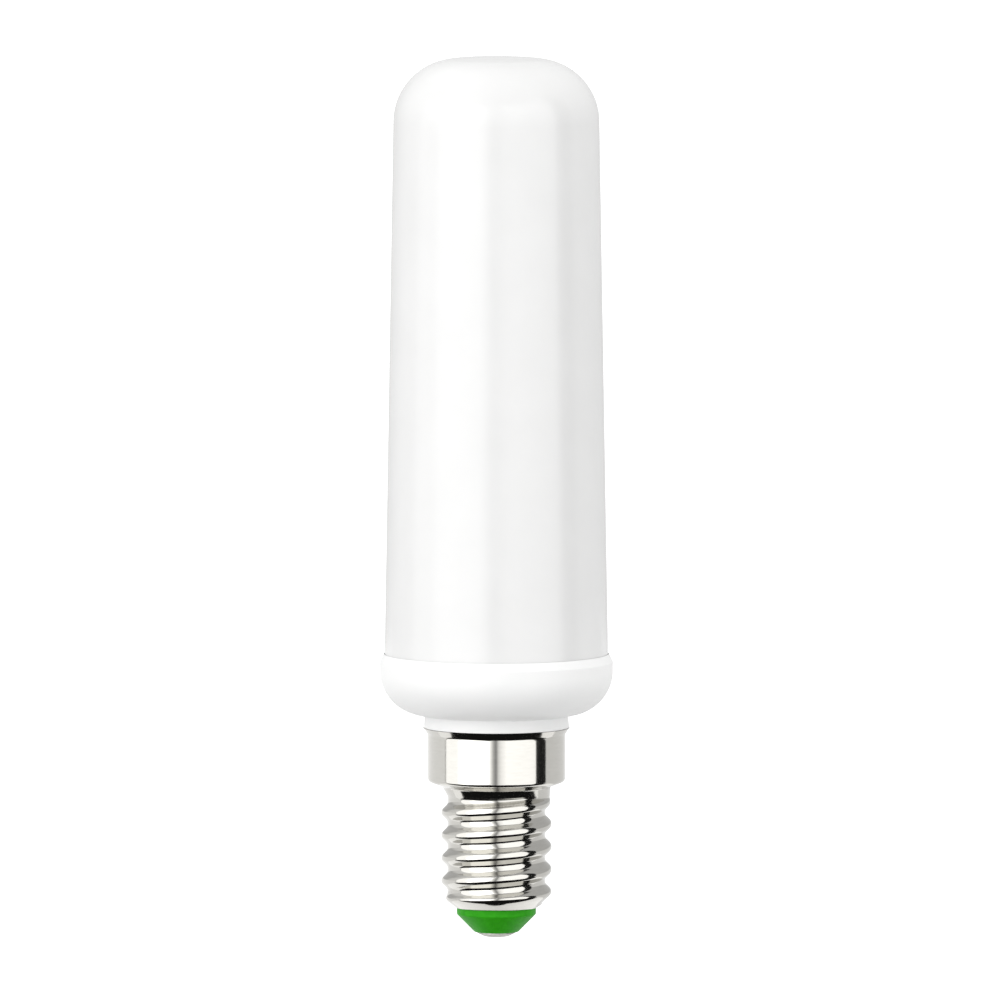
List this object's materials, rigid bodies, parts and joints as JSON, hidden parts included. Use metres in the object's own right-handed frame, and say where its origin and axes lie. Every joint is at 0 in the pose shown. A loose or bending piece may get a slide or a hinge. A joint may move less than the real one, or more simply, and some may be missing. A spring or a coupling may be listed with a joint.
{
  "type": "led stick bulb",
  "caption": "Slim LED bulb: tall milky cover with a low domed end, white collar, small right-hand screw cap, coloured insulator and centre contact.",
  "frame": {"origin": "centre of the flat tip of the centre contact", "axes": "+Z along the bulb's axis from the contact to the top of the cover, +X to the right of the picture, -Y towards the camera"},
  "size_m": [0.0288, 0.0288, 0.1089],
  "materials": {
    "milky_cover": "milky white, smooth satin gloss",
    "white_moulding": "white moulded plastic, fine satin",
    "bright_nickel": "bright nickel plate on drawn brass sheet",
    "green_insulator": "green moulded insulator, satin",
    "contact_metal": "plated contact, satin"
  },
  "bodies": {
    "root": {"diffuser_cover": "milky_cover", "base_housing": "white_moulding", "screw_shell": "bright_nickel", "cap_insulator": "green_insulator", "centre_contact": "contact_metal"}
  },
  "joints": []
}
